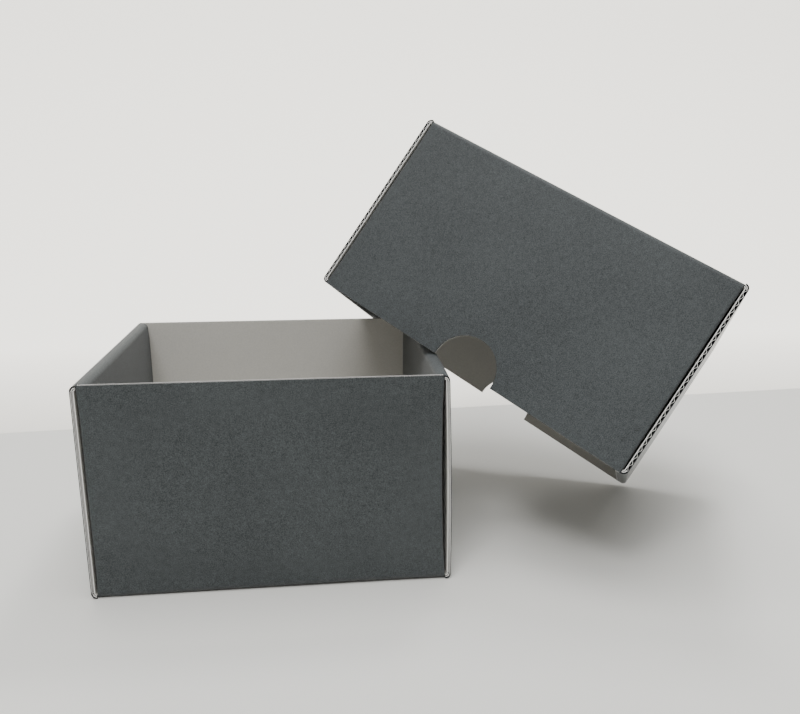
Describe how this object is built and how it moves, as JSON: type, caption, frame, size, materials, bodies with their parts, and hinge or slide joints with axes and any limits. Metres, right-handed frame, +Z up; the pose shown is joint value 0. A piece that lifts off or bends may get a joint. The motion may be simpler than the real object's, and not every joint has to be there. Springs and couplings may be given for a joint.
{
  "type": "archival storage box with lift-off lid",
  "caption": "Rectangular storage box folded from corrugated board: open tray with rolled ends and a full-depth lid with thumb notches, lid off and leaning on the tray.",
  "frame": {"origin": "centre of the tray's flat underside", "axes": "+Z up, +X along the box's length towards the leaning lid, front of the tray at -Y"},
  "size_m": [0.3181, 0.2055, 0.1959],
  "materials": {
    "tray_board": "matt slate-grey paper liner outside, white liner inside",
    "lid_board": "matt slate-grey paper liner outside, white liner inside",
    "rolled_end_board": "matt slate-grey paper liner, rolled over the rim",
    "flap_board": "white paper liner and off-white flutes at the raw edges"
  },
  "bodies": {
    "tray": {"tray_back_wall": "tray_board", "tray_base": "tray_board", "tray_front_wall": "tray_board", "tray_left_back_flap": "flap_board", "tray_left_front_flap": "flap_board", "tray_left_outer_wall": "tray_board", "tray_right_back_flap": "flap_board", "tray_right_front_flap": "flap_board", "tray_right_inner_wall": "rolled_end_board", "tray_right_outer_wall": "tray_board", "tray_right_rim": "rolled_end_board"},
    "left_rim": {"tray_left_rim": "rolled_end_board"},
    "left_inner": {"tray_left_inner_wall": "rolled_end_board"},
    "lid": {"lid_back_wall": "lid_board", "lid_front_wall": "lid_board", "lid_left_back_flap": "flap_board", "lid_left_front_flap": "flap_board", "lid_left_inner_wall": "rolled_end_board", "lid_left_outer_wall": "lid_board", "lid_left_rim": "rolled_end_board", "lid_right_back_flap": "flap_board", "lid_right_front_flap": "flap_board", "lid_right_inner_wall": "rolled_end_board", "lid_right_outer_wall": "lid_board", "lid_right_rim": "rolled_end_board", "lid_top_panel": "lid_board"}
  },
  "joints": [
    {"name": "left_rim_hinge", "type": "hinge", "parent": "tray", "child": "left_rim", "pos_m": [-0.075, 0, 0.0903], "axis": [0, -1, 0], "range_deg": [0, 90]},
    {"name": "left_inner_wall_hinge", "type": "hinge", "parent": "left_rim", "child": "left_inner", "pos_m": [-0.069, 0, 0.0903], "axis": [0, -1, 0], "range_deg": [0, 90]},
    {"name": "lid_lift", "type": "slide", "parent": "tray", "child": "lid", "axis": [0, 0, 1], "range_m": [0, 0.12]}
  ],
  "couplings": [
    {"joint": "left_inner_wall_hinge", "follows": "left_rim_hinge", "ratio": 1}
  ]
}
